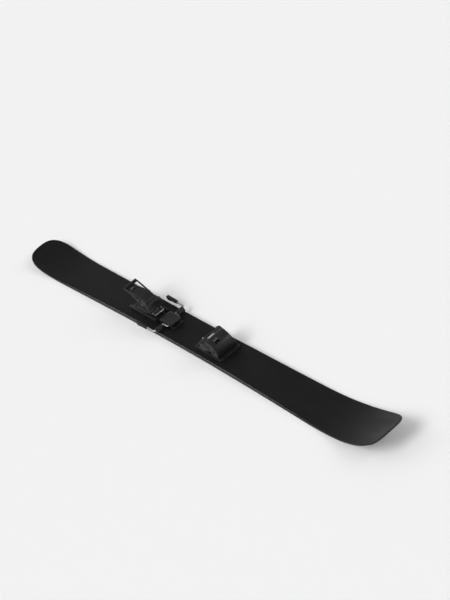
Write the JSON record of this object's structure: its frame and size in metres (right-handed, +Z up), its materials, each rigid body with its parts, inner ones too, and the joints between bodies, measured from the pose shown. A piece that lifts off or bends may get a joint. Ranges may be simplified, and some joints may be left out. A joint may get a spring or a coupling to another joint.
{
  "type": "freeride ski with alpine binding",
  "caption": "Wide rockered freeride ski with a releasing alpine toe piece, a length-adjustable heel piece and a ski brake.",
  "frame": {"origin": "centre of the ski's bounding box in plan, on the plane the running base touches", "axes": "+X along the ski towards the tip, +Y to the skier's left, +Z up out of the topsheet"},
  "size_m": [1.84, 0.138, 0.1072],
  "materials": {
    "base": "sintered black running base with a stone-ground structure",
    "edge": "ground carbon steel",
    "sidewall": "satin black moulded plastic, milled flush",
    "laminate": "resin and glass fibre",
    "wood": "bare laminated strips",
    "metal": "rolled alloy sheet",
    "spacer": "satin black moulded plastic",
    "topsheet": "matte black sheet with a fine linen emboss",
    "housing": "die-cast light alloy under a black powder coat",
    "plastic": "glass-filled black nylon",
    "slider": "smooth grey low-friction plastic",
    "steel": "drawn and zinc-plated steel",
    "dark_steel": "black oxide on steel",
    "spring": "oiled spring wire"
  },
  "bodies": {
    "ski": {"base": "base", "edge_left": "edge", "edge_right": "edge", "lower_laminate": "laminate", "wood_core": "wood", "sidewall_left": "sidewall", "sidewall_right": "sidewall", "metal_sheet": "metal", "upper_laminate": "laminate", "topsheet": "topsheet", "tip_spacer": "spacer", "tail_spacer": "spacer", "toe_base_plate": "housing", "toe_housing": "housing", "toe_wing_pin_left": "steel", "toe_wing_pin_right": "steel", "toe_screw_1": "dark_steel", "toe_screw_2": "dark_steel", "toe_screw_3": "dark_steel", "toe_screw_4": "dark_steel", "heel_track": "housing", "heel_screw_1": "dark_steel", "heel_screw_2": "dark_steel", "heel_screw_3": "dark_steel", "heel_screw_4": "dark_steel", "brake_base": "housing", "brake_pedal_pin": "steel", "brake_spring": "spring", "brake_screw_1": "dark_steel", "brake_screw_2": "dark_steel"},
    "toe_wing_left": {"toe_wing_left": "housing"},
    "toe_wing_right": {"toe_wing_right": "housing"},
    "toe_plunger_left": {"toe_plunger_left": "steel", "toe_spring": "spring"},
    "toe_plunger_right": {"toe_plunger_right": "steel"},
    "toe_release_screw": {"toe_release_screw": "steel"},
    "toe_release_nut": {"toe_release_nut": "slider"},
    "toe_height_screw": {"toe_height_screw": "steel"},
    "afd_wedge": {"afd_wedge": "plastic"},
    "afd_carriage": {"afd_carriage": "plastic"},
    "afd_plate": {"afd_plate": "slider"},
    "heel_carriage": {"heel_carriage": "plastic", "heel_pivot_pin": "steel"},
    "length_screw": {"length_screw": "steel"},
    "heel_housing": {"heel_housing": "housing", "heel_cup": "plastic", "heel_spur": "steel", "heel_lever_pin": "steel", "heel_spring": "spring"},
    "heel_lever": {"heel_lever": "housing"},
    "heel_piston": {"heel_piston": "steel"},
    "heel_release_screw": {"heel_release_screw": "steel"},
    "heel_release_nut": {"heel_release_nut": "slider"},
    "brake_arms": {"brake_wire_left": "steel", "brake_wire_right": "steel", "brake_foot_left": "plastic", "brake_foot_right": "plastic"},
    "brake_pedal": {"brake_pedal": "plastic"}
  },
  "joints": [
    {"name": "toe_wing_left", "type": "hinge", "parent": "ski", "child": "toe_wing_left", "pos_m": [0.112, 0.026, 0.045], "axis": [0, 0, -1], "range_deg": [0, 22], "stiffness_Nm_per_rad": 3, "deforming": ["toe_spring"]},
    {"name": "toe_wing_right", "type": "hinge", "parent": "ski", "child": "toe_wing_right", "pos_m": [0.112, -0.026, 0.045], "axis": [0, 0, 1], "range_deg": [0, 22], "stiffness_Nm_per_rad": 3, "deforming": ["toe_spring"]},
    {"name": "toe_plunger_left", "type": "slide", "parent": "ski", "child": "toe_plunger_left", "axis": [0, -1, 0], "range_m": [0, 0.0085], "deforming": ["toe_spring"]},
    {"name": "toe_plunger_right", "type": "slide", "parent": "ski", "child": "toe_plunger_right", "axis": [0, 1, 0], "range_m": [0, 0.0085], "deforming": ["toe_spring"]},
    {"name": "toe_release_nut", "type": "slide", "parent": "toe_plunger_right", "child": "toe_release_nut", "axis": [0, 1, 0], "range_m": [-0.003, 0.003], "deforming": ["toe_spring"]},
    {"name": "toe_release_screw", "type": "hinge", "parent": "toe_plunger_right", "child": "toe_release_screw", "pos_m": [0.134, -0.0213, 0.04499], "axis": [0, 1, 0], "range_deg": [-868, 868]},
    {"name": "afd_wedge", "type": "slide", "parent": "ski", "child": "afd_wedge", "axis": [-1, 0, 0], "range_m": [0, 0.0077]},
    {"name": "toe_height_screw", "type": "hinge", "parent": "ski", "child": "toe_height_screw", "pos_m": [0.02, 0, 0.02159], "axis": [1, 0, 0], "range_deg": [0, 2320]},
    {"name": "afd_carriage", "type": "slide", "parent": "ski", "child": "afd_carriage", "axis": [0, 0, 1], "range_m": [0, 0.00221]},
    {"name": "afd_plate", "type": "slide", "parent": "afd_carriage", "child": "afd_plate", "axis": [0, 1, 0], "range_m": [-0.008, 0.008]},
    {"name": "heel_length", "type": "slide", "parent": "ski", "child": "heel_carriage", "axis": [1, 0, 0], "range_m": [-0.012, 0.012]},
    {"name": "length_screw", "type": "hinge", "parent": "heel_carriage", "child": "length_screw", "pos_m": [-0.31, 0, 0.02359], "axis": [1, 0, 0], "range_deg": [-1084, 1084]},
    {"name": "heel_open", "type": "hinge", "parent": "heel_carriage", "child": "heel_housing", "pos_m": [-0.262, 0, 0.05599], "axis": [0, -1, 0], "range_deg": [0, 38], "deforming": ["heel_spring"]},
    {"name": "heel_piston", "type": "slide", "parent": "heel_housing", "child": "heel_piston", "axis": [-0.788, 0, 0.6157], "range_m": [0, 0.0041], "deforming": ["heel_spring"]},
    {"name": "heel_lever", "type": "hinge", "parent": "heel_housing", "child": "heel_lever", "pos_m": [-0.258, 0, 0.07899], "axis": [0, -1, 0], "range_deg": [0, 10]},
    {"name": "heel_release_nut", "type": "slide", "parent": "heel_housing", "child": "heel_release_nut", "axis": [-0.788, 0, 0.6157], "range_m": [-0.0025, 0.0025], "deforming": ["heel_spring"]},
    {"name": "heel_release_screw", "type": "hinge", "parent": "heel_housing", "child": "heel_release_screw", "pos_m": [-0.30894, 0, 0.07539], "axis": [-0.788, 0, 0.6157], "range_deg": [-723, 723]},
    {"name": "brake_arms", "type": "hinge", "parent": "ski", "child": "brake_arms", "pos_m": [-0.16, 0, 0.02599], "axis": [0, -1, 0], "range_deg": [0, 75], "deforming": ["brake_spring"]},
    {"name": "brake_pedal", "type": "hinge", "parent": "ski", "child": "brake_pedal", "pos_m": [-0.175, 0, 0.02719], "axis": [0, -1, 0], "range_deg": [0, 48], "deforming": ["brake_spring"]}
  ],
  "couplings": [
    {"joint": "toe_plunger_left", "follows": "toe_wing_left", "m_per_rad": 0.022},
    {"joint": "toe_plunger_right", "follows": "toe_wing_right", "m_per_rad": 0.022},
    {"joint": "toe_release_screw", "follows": "toe_release_nut", "rad_per_m": 5026.5},
    {"joint": "toe_height_screw", "follows": "afd_wedge", "rad_per_m": 5236},
    {"joint": "afd_carriage", "follows": "afd_wedge", "ratio": 0.28571},
    {"joint": "length_screw", "follows": "heel_length", "rad_per_m": -1570.8},
    {"joint": "heel_piston", "follows": "heel_open", "m_per_rad": 0.006},
    {"joint": "heel_release_screw", "follows": "heel_release_nut", "rad_per_m": 5026.5},
    {"joint": "brake_pedal", "follows": "brake_arms", "ratio": 0.63}
  ]
}
